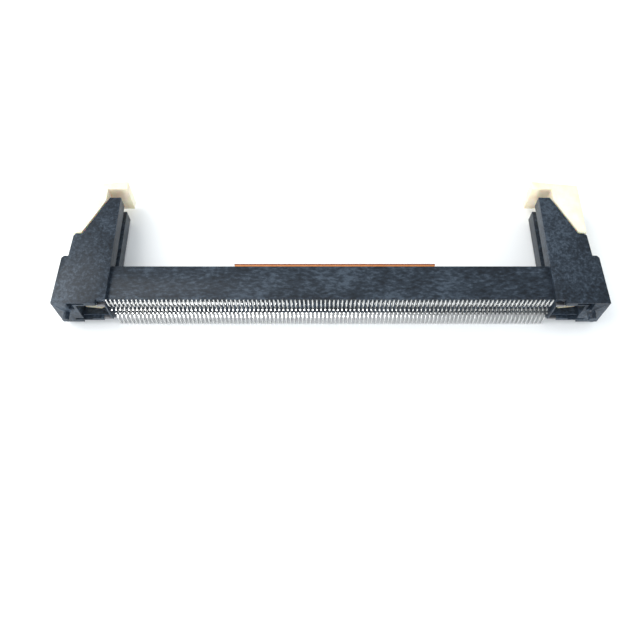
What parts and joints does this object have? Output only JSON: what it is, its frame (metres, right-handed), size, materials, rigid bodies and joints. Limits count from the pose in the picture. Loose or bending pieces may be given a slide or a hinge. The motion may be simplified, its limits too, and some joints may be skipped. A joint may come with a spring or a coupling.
{
  "type": "memory slot connector",
  "caption": "Straight surface-mount memory card slot connector with two sprung contact rows, two swinging ejector latches, locating pegs and a pick-up film.",
  "frame": {"origin": "middle of the connector's footprint: on the board's surface, halfway along the card slot and halfway through the connector's thickness", "axes": "+X along the card slot, +Y from the board towards the card entry, +Z out of the front face, so the part lies on its back as in the picture"},
  "size_m": [0.0788, 0.0227, 0.0074],
  "materials": {
    "housing_plastic": "matte glass-filled moulding, dark slate, with flow marks",
    "latch_plastic": "satin ivory moulding",
    "contact_metal": "bright tin plating on stamped copper alloy",
    "clip_metal": "dull tin plating",
    "film_adhesive": "translucent amber adhesive",
    "polyimide_film": "glossy amber polyimide film"
  },
  "bodies": {
    "root": {"housing": "housing_plastic", "contacts_front_left_1": "contact_metal", "contacts_front_left_2": "contact_metal", "contacts_front_left_3": "contact_metal", "contacts_front_key": "contact_metal", "contacts_front_right_1": "contact_metal", "contacts_front_right_2": "contact_metal", "contacts_front_right_3": "contact_metal", "contacts_front_right_4": "contact_metal", "contacts_front_right_5": "contact_metal", "contacts_front_right_6": "contact_metal", "contacts_back_left_1": "contact_metal", "contacts_back_left_2": "contact_metal", "contacts_back_left_3": "contact_metal", "contacts_back_key": "contact_metal", "contacts_back_right_1": "contact_metal", "contacts_back_right_2": "contact_metal", "contacts_back_right_3": "contact_metal", "contacts_back_right_4": "contact_metal", "contacts_back_right_5": "contact_metal", "contacts_back_right_6": "contact_metal", "solder_clip_front_left": "clip_metal", "solder_clip_front_right": "clip_metal", "solder_clip_back_left": "clip_metal", "solder_clip_back_right": "clip_metal", "pickup_adhesive": "film_adhesive", "pickup_film": "polyimide_film"},
    "latch_left_body": {"latch_left": "latch_plastic"},
    "latch_right_body": {"latch_right": "latch_plastic"}
  },
  "joints": [
    {"name": "latch_left_hinge", "type": "hinge", "parent": "root", "child": "latch_left_body", "pos_m": [-0.0366, 0.0034, 0], "axis": [0, 0, 1], "range_deg": [0, 30]},
    {"name": "latch_right_hinge", "type": "hinge", "parent": "root", "child": "latch_right_body", "pos_m": [0.0366, 0.0034, 0], "axis": [0, 0, -1], "range_deg": [0, 30]}
  ]
}
